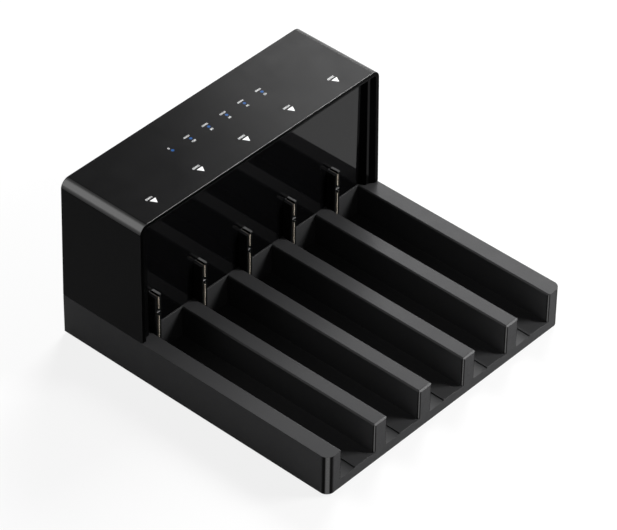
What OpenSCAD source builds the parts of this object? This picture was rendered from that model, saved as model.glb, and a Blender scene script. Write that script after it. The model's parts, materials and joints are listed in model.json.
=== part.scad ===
// Five-bay docking station for hard drives.
// Drives stand on edge in five open lanes and plug into sockets at the lanes' ends.
// A hood behind the lanes holds the boards, with the ports and switches on the low back wall.
// Millimetres. Origin: middle of the footprint on the table. +Z up, lanes open towards -Y.

/* [Overall] */
// outside width of base and hood
body_w = 204; // [190:1:250]
// outside depth, front edge to back
body_d = 207.5; // [195:0.5:250]
// top of the hood above the base's underside
hood_h = 113; // [94:1:140]
// top of the lane walls above the base's underside
wall_h = 28; // [27:1:34]
// how far the rubber feet stand below the base
foot_h = 1.5; // [1:0.1:3]

/* [Lanes] */
// clear width of one lane, for a drive 26.1 thick
lane_w = 27.6; // [23:0.1:30]
// thickness of the four ribs between the lanes
rib_w = 10.7; // [8.5:0.1:11]
// length of a lane, front edge to end wall
lane_len = 149.4; // [140:0.1:152]
// height of the lane's floor
floor_h = 6.6; // [6:0.1:8]
// height of the rail that a thick drive rests on
rail_h = 0.6; // [0.3:0.1:1]
// width of the floor strip left of the rail, for a thin drive
rail_gap = 11.5; // [9:0.1:12]
// width of the rail
rail_w = 11.4; // [8:0.1:12]
// slope along the top edges of the lane walls
edge_ch = 0.8; // [0.4:0.1:1.2]
// slope along the ribs' front top edges
nose_ch = 1; // [0.5:0.1:1.5]
// rounding of the ribs' front corners
rib_r = 1.5; // [1:0.1:3]
// rounding of the base's two front corners
corner_r = 5.3; // [3:0.1:8]

/* [Hood] */
// front edge of the base to the hood's face, measured at the top
hood_y = 144; // [138:0.5:146]
// rounding of the hood's upper corners
hood_r = 6; // [4:0.5:10]
// wall thickness of the hood
hood_t = 2.6; // [2:0.1:3]
// how far the hood's outside walls lean in over their height
draft = 0.8; // [0:0.1:1.5]
// open line between base and hood
seam = 0.25; // [0.2:0.05:0.5]

/* [Bezel and panel] */
// outer slope of the bezel: width and depth
bezel_slope_w = 3.4; // [2:0.1:4]
bezel_slope_d = 2.5; // [2:0.1:3]
// flat strip between the two slopes
bezel_flat_w = 2; // [1:0.1:3]
// inner slope of the bezel: width
bezel_inner_w = 2.7; // [2:0.1:4]
// thickness of the bezel's bar under the hood's top
bezel_top_t = 0.8; // [0.6:0.1:1.2]
// panel face behind the hood's face
panel_back = 6; // [5:0.1:8]
// thickness of the panel
panel_t = 2; // [1.5:0.1:2.5]

/* [Drive sockets] */
// lane's left face to the face that carries the contacts
sock_off = 3.45; // [3.4:0.05:6]
// thickness of the socket's right wall, behind the contacts
sock_right = 1.9; // [1.5:0.1:2.4]
// thickness of the socket's left wall
sock_left = 1.3; // [1:0.1:1.4]
// height of a socket
sock_h = 35.6; // [35:0.1:40]
// depth of a socket
sock_d = 10; // [9:0.1:12]
// height of the middle of the contact row
sock_z = 37.5; // [36:0.1:40]
// spacing of the contacts
pin_pitch = 1.27; // [1.27:0.01:1.27]

/* [Back wall] */
// positions of the fittings across the back wall
rocker_x = 66; // [60:1:70]
jack_x = 40; // [36:1:44]
usb_x = 8; // [0:1:14]
mode_x = -28; // [-36:1:-22]
button_x = -58; // [-66:1:-50]
// radius of the push button's cap
button_r = 3.2; // [2.5:0.1:4]
// travel of the push button
button_travel = 1; // [0.5:0.1:1.2]
// travel of the mode slider
mode_travel = 3; // [2:0.1:3]

/* [Lights] */
// spacing of the six light windows
light_pitch = 15.1; // [12:0.1:18]
// front edge of the base to the row of windows
light_y = 179.5; // [176:0.5:184]
// radius of a window
light_r = 0.95; // [0.8:0.05:1.5]

/* [Hidden] */
$fn = 64;

lane_n = 5;
light_n = 6;
half_w = body_w / 2;
pitch = lane_w + rib_w;
side_w = (body_w - lane_n * lane_w - (lane_n - 1) * rib_w) / 2;
wall_t = 2.6;
end_t = 2.5;
rear_t = 2.5;
skin_t = 2.2;
eps = 0.01;
over = 1;

// base
cover_t = 1.9;
cover_inset = 2;
cover_gap = 0.2;
rib_solid = 12;
cover_screw_y = [10, lane_len - 4.4];
side_screw_in = 5.8;
hollow_y = 16;
room_y = lane_len + end_t;
lip_t = 1.3;
lip_h = 3;
lip_below = 4;
lip_gap = 0.34;
lip_back = 2;
ledge_t = 6;
ledge_w = 13;
ledge_d = 12;

// hood posts and screws
post_r = 3.5;
post_x = half_w - 7;
post_y = [room_y + 11.5, body_d - 10];
screw_r = 1.2;
screw_gap = 0.05;
head_r = 2.6;
head_h = 1.8;
head_sink = 1.2;
hole_gap = 0.3;
cross_l = 3;
cross_w = 0.7;
cross_d = 0.9;
pilot_l = 10;
web_t = 1.4;
web_in = 0.4;

// bezel and panel
bezel_y = hood_y - draft;
panel_y = hood_y + panel_back;
panel_in = hood_t + bezel_slope_w + bezel_flat_w + bezel_inner_w;
panel_top = hood_h - hood_t - bezel_top_t;
panel_half = half_w - panel_in;
panel_edge = 1.5;
bezel_gap = 0.05;
slot_gap = 0.25;
piece_gap = 0.3;

// drive sockets
sock_y = panel_y - 6.2;
board_t = 1.6;
back_y = sock_y + sock_d;
pin_w = 0.62;
pin_t = 0.5;
pin_back = 0.5;
sig_n = 7;
pow_n = 15;
row_len = 31.75;
key_gap = 6.35;
groove_w = 1.7;
groove_d = 6.4;
groove_end = 1.2;
key_end = 2.5;
key_h = 1.1;
key_w = 1.1;
lead_in = 0.8;

// back boards
back_half = half_w - 11;
back_z = 11;
back_h = 49;
main_half = half_w - 18;
main_z = 7.5;
main_top = main_z + board_t;
main_y = back_y + board_t + 3.1;
main_d = body_d - 5 - main_y;
main_post_x = main_half - 6;
main_post_y = [main_y + 4.5, main_y + main_d - 6.5];
post_small_r = 3;

// back wall
win_half = half_w - 22;
win_z = 5.2;
win_h = 19.3;
plate_t = 2;
plate_y = body_d - rear_t - plate_t;
plate_over = 2.3;
plate_face = body_d - rear_t;

// rocker: middle of its axle, half length of the rocking face and tilt each way
rocker_z = 16.2;
rocker_y = plate_face - 2.2;
rocker_rad = 6.3;
rocker_w = 7.4;
rocker_tilt = 9;
rocker_face = 2.6;
rocker_dip = 0.98;
rocker_back = 2.4;
axle_out = 0.7;
slot_end = 0.2;
axle_r = 1.1;
frame_w = 10.6;
frame_h = 15;
frame_body_w = 9.6;
frame_body_h = 14;
frame_depth = 12;
frame_lip = 0.9;

// other ports
jack_w = 9;
jack_h = 11;
jack_l = 14;
jack_bore_r = 3;
jack_z = main_top + 6.5;
jack_pin_r = 1.2;
jack_pin_l = 8;
jack_nose_r = 4.2;
jack_bore_l = 9.5;
pin_tip = 0.6;
jack_face_y = plate_face + 0.4;
usb_w = 12;
usb_h = 11;
usb_l = 17;
usb_wall = 0.5;
usb_face_y = plate_face + 0.6;
usb_ch = 2;
tongue_w = 5.6;
tongue_h = 3.2;
tongue_back = 2.6;
tongue_root = 12;
mode_z = main_top + 3.4;
mode_w = 12;
mode_h = 6;
mode_d = 5;
knob_w = 3;
knob_h = 2.6;
knob_out = 1.8;
knob_root = 2;
button_z = main_top + button_r + 1.4;
tact_w = 6.2;
tact_h = button_z - main_top + 3;
tact_d = 3.4;
tact_y = plate_y - 7;
stem_r = 1.7;
stem_l = 0.6;
flange_t = 1.2;
flange_w = 1.2;
cap_out = 1.4;
cap_ch = 0.4;

// lights
led_board_z = hood_h - hood_t - 7.2;
led_half = (light_n - 1) / 2 * light_pitch + 10;
led_post_x = led_half - 4;
led_d = 14;
led_h = 1.6;

// feet
foot_r = 6;
foot_sink = 0.6;
foot_ch = 0.5;
small_chip_t = 1.2;
foot_x = half_w - 16;
foot_y = [16, body_d - 16];

// colours
c_base = [0.12, 0.12, 0.125];
c_hood = [0.09, 0.09, 0.095];
c_gloss = [0.02, 0.02, 0.022];
c_board = [0.05, 0.22, 0.12];
c_plastic = [0.05, 0.05, 0.05];
c_gold = [0.85, 0.66, 0.38];
c_metal = [0.72, 0.73, 0.75];
c_light = [0.25, 0.5, 0.95];
c_rubber = [0.04, 0.04, 0.04];
c_ribbon = [0.75, 0.75, 0.72];

function lane_x(k) = (k - (lane_n + 1) / 2) * pitch;
function sock_x(k) = lane_x(k) - lane_w / 2 + sock_off;
function rib_x(k) = (k - lane_n / 2) * pitch;
function light_x(k) = (k - (light_n + 1) / 2) * light_pitch;
// height of the k-th contact above the row's foot: power contacts first, then signal contacts
function pin_z(k) = sock_z - row_len / 2
  + (k < pow_n ? k * pin_pitch : (pow_n - 1) * pin_pitch + key_gap + (k - pow_n) * pin_pitch);
// where the hood's outside wall stands at height z
function lean(z) = draft * (z - wall_h) / (hood_h - wall_h);

// Parts are drawn with Y from the base's front edge and Z from its underside.
module placed() {
  translate([0, -body_d / 2, foot_h]) children();
}

module block(x0, x1, y0, y1, z0, z1) {
  translate([x0, y0, z0]) cube([x1 - x0, y1 - y0, z1 - z0]);
}

// the children and their mirror image on the other side
module both_sides() {
  children();
  mirror([1, 0, 0]) children();
}

// a cylinder along +Y
module rod_y(r, l) {
  rotate([-90, 0, 0]) cylinder(r = r, h = l);
}

// a cylinder along +X
module rod_x(r, l) {
  rotate([0, 90, 0]) cylinder(r = r, h = l);
}

// a plan outline with its two front corners rounded
module front_rounded(half, d, r) {
  translate([-half, r]) square([2 * half, d - r]);
  translate([-half + r, 0]) square([2 * (half - r), d]);
  for (s = [-1, 1]) translate([s * (half - r), r]) circle(r = r);
}

// one lane's cross-section, with its rail and the sloped top edges
module lane_section() {
  polygon([
    [-lane_w / 2, floor_h],
    [-lane_w / 2 + rail_gap, floor_h],
    [-lane_w / 2 + rail_gap, floor_h + rail_h],
    [-lane_w / 2 + rail_gap + rail_w, floor_h + rail_h],
    [-lane_w / 2 + rail_gap + rail_w, floor_h],
    [lane_w / 2, floor_h],
    [lane_w / 2, wall_h - edge_ch],
    [lane_w / 2 + edge_ch, wall_h],
    [lane_w / 2 + edge_ch, wall_h + over],
    [-lane_w / 2 - edge_ch, wall_h + over],
    [-lane_w / 2 - edge_ch, wall_h],
    [-lane_w / 2, wall_h - edge_ch]
  ]);
}

// what is taken off a lane wall's front corner at x; s is the side the wall lies on
module nose_cut(x, s) {
  translate([x, 0, floor_h]) difference() {
    translate([s > 0 ? -eps : -rib_r, -over, 0]) cube([rib_r + eps, rib_r + over, wall_h]);
    translate([s * rib_r, rib_r, -over]) cylinder(r = rib_r, h = wall_h + 2 * over);
  }
}

// a hollow under a lane wall, open below
module wall_hollow(x0, x1, y0, y1) {
  block(x0 + skin_t, x1 - skin_t, y0, y1, -over, wall_h - skin_t);
}

// clearances in the end wall and panel round the drive sockets
module socket_ways(y0, y1) {
  for (k = [1 : lane_n])
    block(lane_x(k) - lane_w / 2, sock_x(k) + sock_right + slot_gap, y0, y1,
          sock_z - sock_h / 2 - slot_gap, sock_z + sock_h / 2 + slot_gap);
}

function cover_screw_xy() = [
  for (s = [-1, 1], y = cover_screw_y) [s * (half_w - min(side_w / 2, side_screw_in)), y],
  for (k = [1, lane_n - 1], y = cover_screw_y) [rib_x(k), y]
];

module base_tray() {
  color(c_base) placed() difference() {
    union() {
      difference() {
        linear_extrude(height = wall_h) front_rounded(half_w, body_d, corner_r);
        // lanes
        for (k = [1 : lane_n]) translate([lane_x(k), lane_len, 0])
          rotate([90, 0, 0]) linear_extrude(height = lane_len + over) lane_section();
        // rib noses
        for (k = [1 : lane_n]) {
          nose_cut(lane_x(k) - lane_w / 2, -1);
          nose_cut(lane_x(k) + lane_w / 2, 1);
        }
        translate([rib_x(1) - rib_w, 0, wall_h]) rotate([90, 0, 90])
          linear_extrude(height = 3 * pitch + 2 * rib_w)
          polygon([[-over, -nose_ch - over], [nose_ch + over, over], [-over, over]]);
        // room behind the lanes
        block(-half_w + wall_t, half_w - wall_t, room_y, body_d - rear_t, -over, wall_h + over);
        // seat of the bottom cover
        translate([0, cover_inset, -over]) linear_extrude(height = cover_t + over)
          front_rounded(half_w - cover_inset, body_d - 2 * cover_inset, corner_r - cover_inset);
        // space under the lane floors, and the hollows in ribs and side walls
        block(-half_w + wall_t, half_w - wall_t, corner_r, lane_len - 2, -over, floor_h - skin_t);
        for (k = [1 : lane_n - 1])
          wall_hollow(rib_x(k) - rib_w / 2, rib_x(k) + rib_w / 2, hollow_y, lane_len - rib_solid);
        both_sides() wall_hollow(half_w - side_w, half_w, hollow_y, lane_len - rib_solid);
        // window for the port plate
        block(-win_half, win_half, body_d - rear_t - over, body_d + over, win_z, win_z + win_h);
      }
      // posts for the cover's screws, under the solid ends of the ribs and side walls
      for (p = cover_screw_xy()) translate([p[0], p[1], cover_t])
        cylinder(r = post_small_r, h = floor_h - cover_t);
      both_sides() {
        // lip that locates the hood
        block(half_w - wall_t - lip_t, half_w - wall_t + eps, room_y - eps, body_d - rear_t,
              wall_h - lip_below, wall_h);
        block(half_w - wall_t - lip_t, half_w - wall_t - lip_gap, room_y + lip_back, body_d - rear_t - lip_t,
              wall_h - lip_below, wall_h + lip_h);
        // ledges that the hood's posts stand on
        for (y = post_y)
          block(half_w - wall_t - ledge_w, half_w - wall_t + eps, y - ledge_d / 2,
                min(y + ledge_d / 2, body_d - rear_t + eps), wall_h - ledge_t, wall_h);
      }
    }
    socket_ways(lane_len - over, room_y + over);
    for (p = cover_screw_xy()) translate([p[0], p[1], -over])
      cylinder(r = screw_r + screw_gap, h = pilot_l + over);
    for (s = [-1, 1], y = post_y) translate([s * post_x, y, wall_h - ledge_t - over])
      cylinder(r = screw_r + hole_gap, h = ledge_t + 2 * over);
    for (p = backplane_screw_xz()) translate([p[0], room_y - pilot_l, p[1]])
      rod_y(screw_r + screw_gap, pilot_l + over);
  }
}

function backplane_screw_xz() = [for (k = [1 : lane_n - 1]) [rib_x(k), back_z + 11.5]];

module bottom_cover() {
  color(c_base) placed() difference() {
    union() {
      translate([0, cover_inset + cover_gap, 0]) linear_extrude(height = cover_t)
        front_rounded(half_w - cover_inset - cover_gap, body_d - 2 * (cover_inset + cover_gap),
                      corner_r - cover_inset);
      for (s = [-1, 1], y = main_post_y) translate([s * main_post_x, y, 0])
        cylinder(r = post_small_r, h = main_z);
    }
    for (p = cover_screw_xy()) translate([p[0], p[1], -over]) {
      cylinder(r = screw_r + hole_gap, h = cover_t + 2 * over);
      cylinder(r = head_r + hole_gap, h = over + head_sink);
    }
    for (s = [-1, 1], y = main_post_y) translate([s * main_post_x, y, cover_t])
      cylinder(r = screw_r + screw_gap, h = main_z);
    // seats of the feet
    for (s = [-1, 1], y = foot_y) translate([s * foot_x, y, -over])
      cylinder(r = foot_r + piece_gap, h = over + foot_sink);
    // air slots under the boards
    for (k = [-5 : 5])
      block(k * 10 - 1.1, k * 10 + 1.1, room_y + 14, room_y + 38, -over, cover_t + over);
  }
}

// the hood's outline seen from the front, moved in by inset
module hood_outline(inset, z_low) {
  lean_a = atan(draft / (hood_h - wall_h));
  r = hood_r - inset;
  top = hood_h - inset;
  cz = top - r;
  cx = half_w - lean(cz) - inset / cos(lean_a) - r / cos(lean_a);
  tx = cx + r * cos(lean_a);
  tz = cz + r * sin(lean_a);
  low = half_w - lean(z_low) - inset / cos(lean_a);
  polygon([[-low, z_low], [low, z_low], [tx, tz], [cx, top], [-cx, top], [-tx, tz]]);
  for (s = [-1, 1]) translate([s * cx, cz]) circle(r = r);
}

// the same outline drawn out along Y
module hood_bar(inset, z_low, y0, y1) {
  translate([0, y1, 0]) rotate([90, 0, 0]) linear_extrude(height = y1 - y0) hood_outline(inset, z_low);
}

// the room between the leaning front and back faces of the hood, seen from the side
module hood_sides(z_low) {
  translate([-half_w - over, 0, 0]) rotate([90, 0, 90]) linear_extrude(height = body_w + 2 * over)
    polygon([
      [hood_y - draft + lean(z_low), z_low],
      [hood_y, hood_h + eps],
      [body_d - draft, hood_h + eps],
      [body_d - lean(z_low), z_low]
    ]);
}

module hood_shell() {
  z_low = wall_h + seam;
  inner_back = body_d - draft - hood_t;
  color(c_hood) placed() difference() {
    union() {
      difference() {
        intersection() {
          hood_bar(0, z_low, hood_y - draft - over, body_d + over);
          hood_sides(z_low);
        }
        hood_bar(hood_t, z_low - over, hood_y - 2 * over, inner_back);
      }
      // corner posts with webs to the side walls
      for (s = [-1, 1], y = post_y) translate([s * post_x, y, z_low])
        cylinder(r = post_r, h = hood_h - hood_t - z_low + eps);
      both_sides() for (y = post_y)
        block(post_x, half_w - draft - hood_t + web_in, y - web_t / 2, y + web_t / 2, z_low + lip_h + 1,
              hood_h - hood_t - 2);
      // two posts for the light board
      for (s = [-1, 1]) translate([s * led_post_x, light_y, led_board_z + board_t])
        cylinder(r = 2.5, h = hood_h - hood_t - led_board_z - board_t + eps);
    }
    for (s = [-1, 1], y = post_y) translate([s * post_x, y, z_low - over])
      cylinder(r = screw_r + screw_gap, h = pilot_l + over);
    for (s = [-1, 1]) translate([s * led_post_x, light_y, led_board_z])
      cylinder(r = screw_r + screw_gap, h = 6);
    for (k = [1 : light_n]) translate([light_x(k), light_y, hood_h - hood_t - over])
      cylinder(r = light_r + screw_gap, h = hood_t + 2 * over);
    // room for the locating lip
    both_sides()
      block(half_w - wall_t - lip_t - 2, half_w - wall_t - piece_gap / 3, room_y, body_d - rear_t - 0.5,
            z_low - over, wall_h + lip_h + 0.5);
  }
}

// stepped opening of the bezel in plan
module bezel_plan() {
  a = half_w - hood_t - piece_gap;
  b = half_w - hood_t - bezel_slope_w;
  c = b - bezel_flat_w;
  d = panel_half;
  y1 = bezel_y + bezel_slope_d;
  polygon([
    [-a, bezel_y - over], [a, bezel_y - over], [a, bezel_y], [b, y1], [c, y1], [d, panel_y],
    [d, panel_y + over], [-d, panel_y + over], [-d, panel_y], [-c, y1], [-b, y1], [-a, bezel_y]
  ]);
}

module front_bezel() {
  lean_a = atan(draft / (hood_h - wall_h));
  color(c_gloss) placed() difference() {
    intersection() {
      hood_bar(hood_t + bezel_gap, wall_h + seam, bezel_y, panel_y + panel_t);
      hood_sides(wall_h + seam);
    }
    intersection() {
      translate([0, bezel_y, wall_h]) rotate([-lean_a, 0, 0]) translate([0, -bezel_y, -over])
        linear_extrude(height = hood_h) bezel_plan();
      block(-half_w, half_w, bezel_y - over, panel_y + eps, wall_h - over, panel_top);
    }
    // seat of the panel behind the opening
    block(-panel_half - panel_edge, panel_half + panel_edge, panel_y, panel_y + panel_t + over,
          wall_h - over, panel_top - 0.2);
  }
}

module front_panel() {
  half = panel_half + panel_edge - 0.1;
  color(c_gloss) placed() difference() {
    block(-half, half, panel_y, panel_y + panel_t, wall_h + seam, panel_top - 0.3);
    socket_ways(panel_y - over, panel_y + panel_t + over);
  }
}

module backplane_board() {
  color(c_board) placed() difference() {
    block(-back_half, back_half, back_y, back_y + board_t, back_z, back_z + back_h);
    for (p = backplane_screw_xz()) translate([p[0], back_y - over, p[1]])
      rod_y(screw_r + screw_gap, board_t + 2 * over);
  }
}

// one drive socket: a signal groove above and a power groove below, each with its key slot on the right;
// the signal groove is open at its upper end
module receptacle(k) {
  z0 = sock_z - sock_h / 2;
  z1 = z0 + sock_h;
  x0 = -groove_w - sock_left;
  sig_low = pin_z(pow_n) - key_end;
  pow_low = pin_z(0) - groove_end;
  pow_high = pin_z(pow_n - 1) + key_end;
  translate([sock_x(k), sock_y, 0]) difference() {
    block(x0, sock_right, 0, sock_d, z0, z1);
    block(-groove_w, 0, -over, groove_d, sig_low, z1 + over);
    block(-groove_w, key_w, -over, groove_d, sig_low, sig_low + key_h);
    block(-groove_w, 0, -over, groove_d, pow_low, pow_high);
    block(-groove_w, key_w, -over, groove_d, pow_high - key_h, pow_high);
    // lead-in slopes along the front edges
    for (x = [x0, sock_right]) translate([x, 0, z0 - over]) rotate([0, 0, 45])
      cube([lead_in, lead_in, 2 * sock_h + 4 * over], center = true);
    // sloped top of the left wall
    translate([x0, 0, z1]) rotate([0, 45, 0])
      cube([sqrt(2) * sock_left, 2 * (sock_d + over), sqrt(2) * sock_left], center = true);
  }
}

// the spring contacts of one socket, standing along the right face of its grooves
module contact_row(k) {
  for (i = [0 : pow_n + sig_n - 1])
    block(sock_x(k) - pin_t, sock_x(k), sock_y + pin_back, sock_y + groove_d,
          pin_z(i) - pin_w / 2, pin_z(i) + pin_w / 2);
}

module receptacle_1() {
  color(c_plastic) placed() receptacle(1);
}

module receptacle_2() {
  color(c_plastic) placed() receptacle(2);
}

module receptacle_3() {
  color(c_plastic) placed() receptacle(3);
}

module receptacle_4() {
  color(c_plastic) placed() receptacle(4);
}

module receptacle_5() {
  color(c_plastic) placed() receptacle(5);
}

module contacts_1() {
  color(c_gold) placed() contact_row(1);
}

module contacts_2() {
  color(c_gold) placed() contact_row(2);
}

module contacts_3() {
  color(c_gold) placed() contact_row(3);
}

module contacts_4() {
  color(c_gold) placed() contact_row(4);
}

module contacts_5() {
  color(c_gold) placed() contact_row(5);
}

module main_board() {
  color(c_board) placed() difference() {
    block(-main_half, main_half, main_y, main_y + main_d, main_z, main_top);
    for (s = [-1, 1], y = main_post_y) translate([s * main_post_x, y, main_z - over])
      cylinder(r = screw_r + screw_gap, h = board_t + 2 * over);
  }
}

module board_link() {
  color(c_plastic) placed() block(-30, 30, back_y + board_t, main_y + 2, main_top, main_top + 8);
}

module controller_chips() {
  color(c_plastic) placed() {
    block(-7, 7, main_y + 12, main_y + 26, main_top, main_top + 1.4);
    for (x = [-62, -42, 42, 62])
      block(x - 4, x + 4, main_y + 5, main_y + 13, main_top, main_top + small_chip_t);
    for (k = [1 : lane_n])
      block(lane_x(k) + 4, lane_x(k) + 9, back_y + board_t, back_y + board_t + small_chip_t,
            back_z + 24, back_z + 31);
  }
}

module capacitors() {
  color(c_metal) placed() {
    for (x = [-50, -32, 26, 52]) translate([x, main_y + 20, main_top]) cylinder(r = 4, h = 10);
  }
}

module inductors() {
  color(c_plastic) placed() {
    for (x = [-72, -20, 66]) block(x - 3.4, x + 3.4, main_y + 16, main_y + 22.8, main_top, main_top + 4);
  }
}

module led_board() {
  color(c_board) placed() difference() {
    block(-led_half, led_half, light_y - led_d / 2, light_y + led_d / 2, led_board_z, led_board_z + board_t);
    for (s = [-1, 1]) translate([s * led_post_x, light_y, led_board_z - over])
      cylinder(r = screw_r + screw_gap, h = board_t + 2 * over);
  }
}

module status_leds() {
  color(c_light) placed() for (k = [1 : light_n])
    block(light_x(k) - 1.5, light_x(k) + 1.5, light_y - 1.3, light_y + 1.3,
          led_board_z + board_t, led_board_z + board_t + led_h);
}

module light_pipes() {
  color(c_light) placed() for (k = [1 : light_n]) {
    translate([light_x(k), light_y, led_board_z + board_t + led_h + piece_gap])
      cylinder(r = light_r, h = hood_h - led_board_z - board_t - led_h - piece_gap);
    translate([light_x(k), light_y, hood_h - hood_t - 1.2]) cylinder(r = light_r + 0.7, h = 1.2);
  }
}

// flat cable between the light board and the main board
module led_ribbon() {
  y = light_y + 4;
  z1 = led_board_z - 4;
  z0 = main_top + 5;
  t = 0.5;
  color(c_ribbon) placed() translate([-18, 0, 0]) rotate([90, 0, 90]) linear_extrude(height = 10)
    polygon([
      [y, z1], [y + 4, z1 - 10], [y + 4, z0 + 10], [y, z0],
      [y + t, z0], [y + 4 + t, z0 + 10], [y + 4 + t, z1 - 10], [y + t, z1]
    ]);
}

module ribbon_plugs() {
  y = light_y + 4;
  color(c_plastic) placed() {
    block(-19, -7, y - 1.5, y + 2, led_board_z - 4, led_board_z);
    block(-19, -7, y - 1.5, y + 2, main_top, main_top + 5);
  }
}

module dc_jack() {
  color(c_plastic) placed() difference() {
    union() {
      block(jack_x - jack_w / 2, jack_x + jack_w / 2, jack_face_y - jack_l, plate_y - piece_gap,
            main_top, main_top + jack_h);
      translate([jack_x, plate_y - piece_gap - eps, jack_z])
        rod_y(jack_nose_r, jack_face_y - plate_y + piece_gap + eps);
    }
    translate([jack_x, jack_face_y - jack_bore_l, jack_z]) rod_y(jack_bore_r, jack_bore_l + over);
  }
}

module dc_pin() {
  color(c_metal) placed() translate([jack_x, jack_face_y - jack_bore_l, jack_z]) union() {
    rod_y(jack_pin_r, jack_pin_l);
    translate([0, jack_pin_l - eps, 0]) rotate([-90, 0, 0])
      cylinder(r1 = jack_pin_r, r2 = jack_pin_r - cap_ch, h = pin_tip);
  }
}

// mouth of the data socket: two sloped upper corners
module usb_mouth(in) {
  w = usb_w / 2 - in;
  h0 = main_top + in;
  h1 = main_top + usb_h - in;
  polygon([[-w, h0], [w, h0], [w, h1 - usb_ch], [w - usb_ch, h1], [-w + usb_ch, h1], [-w, h1 - usb_ch]]);
}

module usb_shell() {
  color(c_metal) placed() translate([usb_x, usb_face_y, 0]) rotate([90, 0, 0]) difference() {
    linear_extrude(height = usb_l) usb_mouth(0);
    translate([0, 0, -over]) linear_extrude(height = usb_l - usb_wall + over) usb_mouth(usb_wall);
  }
}

module usb_tongue() {
  zc = main_top + usb_h / 2 - 0.6;
  color(c_plastic) placed() {
    block(usb_x - tongue_w / 2, usb_x + tongue_w / 2, usb_face_y - usb_l + usb_wall,
          usb_face_y - tongue_back, zc - tongue_h / 2, zc + tongue_h / 2);
    block(usb_x - usb_w / 2 + usb_wall + 0.1, usb_x + usb_w / 2 - usb_wall - 0.1,
          usb_face_y - usb_l + usb_wall, usb_face_y - tongue_root,
          main_top + usb_wall, main_top + usb_h - usb_wall - usb_ch);
  }
}

module rear_panel() {
  z0 = cover_t + piece_gap;
  color(c_base) placed() difference() {
    block(-win_half - plate_over, win_half + plate_over, plate_y, plate_face,
          z0, win_z + win_h + plate_over - 0.5);
    block(rocker_x - frame_body_w / 2 - slot_gap, rocker_x + frame_body_w / 2 + slot_gap, plate_y - over,
          plate_face + over, rocker_z - frame_body_h / 2 - slot_gap, rocker_z + frame_body_h / 2 + slot_gap);
    translate([jack_x, plate_y - over, jack_z]) rod_y(jack_nose_r + piece_gap, plate_t + 2 * over);
    translate([usb_x, plate_face + over, 0]) rotate([90, 0, 0]) linear_extrude(height = plate_t + 2 * over)
      usb_mouth(-slot_gap);
    block(mode_x - knob_w / 2 - mode_travel / 2 - slot_gap, mode_x + knob_w / 2 + mode_travel / 2 + slot_gap,
          plate_y - over, plate_face + over, mode_z - knob_h / 2 - slot_gap, mode_z + knob_h / 2 + slot_gap);
    translate([button_x, plate_y - over, button_z]) rod_y(button_r + 0.08, plate_t + 2 * over);
  }
}

module rocker_frame() {
  y_in = plate_face - frame_depth;
  color(c_plastic) placed() difference() {
    union() {
      block(rocker_x - frame_w / 2, rocker_x + frame_w / 2, plate_face, plate_face + frame_lip,
            rocker_z - frame_h / 2, rocker_z + frame_h / 2);
      block(rocker_x - frame_body_w / 2, rocker_x + frame_body_w / 2, y_in, plate_face + eps,
            rocker_z - frame_body_h / 2, rocker_z + frame_body_h / 2);
    }
    // hollow in which the rocker turns
    block(rocker_x - rocker_w / 2 - slot_gap, rocker_x + rocker_w / 2 + slot_gap, rocker_y - 7,
          plate_face + frame_lip + over, rocker_z - rocker_rad - piece_gap, rocker_z + rocker_rad + piece_gap);
    translate([rocker_x - rocker_w / 2 - axle_out - slot_end, rocker_y, rocker_z])
      rod_x(axle_r + screw_gap, rocker_w + 2 * (axle_out + slot_end));
  }
}

// the rocker with its upper half pressed in; it turns about its axle to the other state
module power_rocker() {
  color(c_plastic) placed() translate([rocker_x, rocker_y, rocker_z]) union() {
    translate([-rocker_w / 2, 0, 0]) rotate([rocker_tilt, 0, 0]) intersection() {
      rod_x(rocker_rad, rocker_w);
      rotate([90, 0, 90]) linear_extrude(height = rocker_w) polygon([
        [-rocker_back, -rocker_rad], [rocker_face + rocker_dip, -rocker_rad], [rocker_face, 0],
        [rocker_face + rocker_dip, rocker_rad], [-rocker_back, rocker_rad]
      ]);
    }
    translate([-rocker_w / 2 - axle_out, 0, 0]) rod_x(axle_r, rocker_w + 2 * axle_out);
  }
}

module mode_switch() {
  y1 = plate_y - piece_gap;
  color(c_metal) placed() difference() {
    block(mode_x - mode_w / 2, mode_x + mode_w / 2, y1 - mode_d, y1, main_top, main_top + mode_h);
    block(mode_x - knob_w / 2 - mode_travel / 2 - slot_gap, mode_x + knob_w / 2 + mode_travel / 2 + slot_gap,
          y1 - knob_root - slot_end, y1 + over,
          mode_z - knob_h / 2 - screw_gap, mode_z + knob_h / 2 + screw_gap);
  }
}

module mode_slider() {
  x = mode_x - mode_travel / 2;
  color(c_plastic) placed()
    block(x - knob_w / 2, x + knob_w / 2, plate_y - piece_gap - knob_root, plate_face + knob_out,
          mode_z - knob_h / 2, mode_z + knob_h / 2);
}

module tact_switch() {
  color(c_plastic) placed() union() {
    block(button_x - tact_w / 2, button_x + tact_w / 2, tact_y, tact_y + tact_d, main_top, main_top + tact_h);
    translate([button_x, tact_y + tact_d - eps, button_z]) rod_y(stem_r, stem_l);
  }
}

module clone_button() {
  y_in = tact_y + tact_d + stem_l + button_travel + slot_end;
  flange_y = plate_y - flange_t - piece_gap;
  color(c_plastic) placed() translate([button_x, 0, button_z]) union() {
    translate([0, flange_y, 0]) rod_y(button_r + flange_w, flange_t);
    translate([0, y_in, 0]) rod_y(stem_r, flange_y - y_in + eps);
    translate([0, flange_y, 0]) rod_y(button_r, plate_face + cap_out - flange_y);
    translate([0, plate_face + cap_out - eps, 0]) rotate([-90, 0, 0])
      cylinder(r1 = button_r, r2 = button_r - cap_ch, h = cap_ch);
  }
}

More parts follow.
